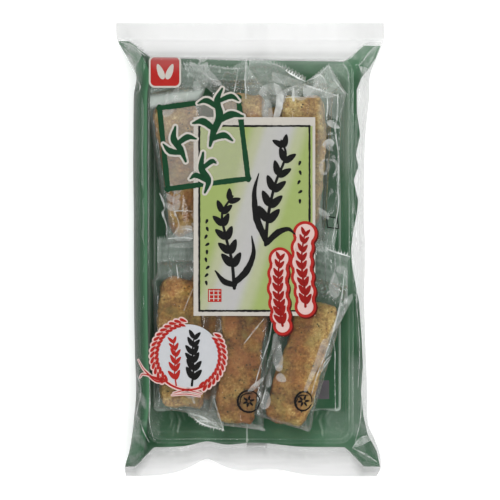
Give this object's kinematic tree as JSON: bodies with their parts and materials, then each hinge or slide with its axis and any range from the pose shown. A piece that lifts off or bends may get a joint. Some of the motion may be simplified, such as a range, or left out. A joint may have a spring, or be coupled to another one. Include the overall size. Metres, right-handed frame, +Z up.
{
  "type": "sealed pack of japanese rice crackers",
  "caption": "Clear and green film pillow pack of wrapped rice cracker sticks in a tray, with flat end seals, lying on its back.",
  "frame": {"origin": "on the surface the pack lies on, under the centre of its box", "axes": "+X to the right across the pack as its front is read, +Y from the bottom seal to the top seal, +Z up through the front"},
  "size_m": [0.1564, 0.265, 0.0309],
  "materials": {
    "clear_film": "glossy clear packaging film"
  },
  "bodies": {
    "root": {"sealed_bag": "clear_film"}
  },
  "joints": []
}
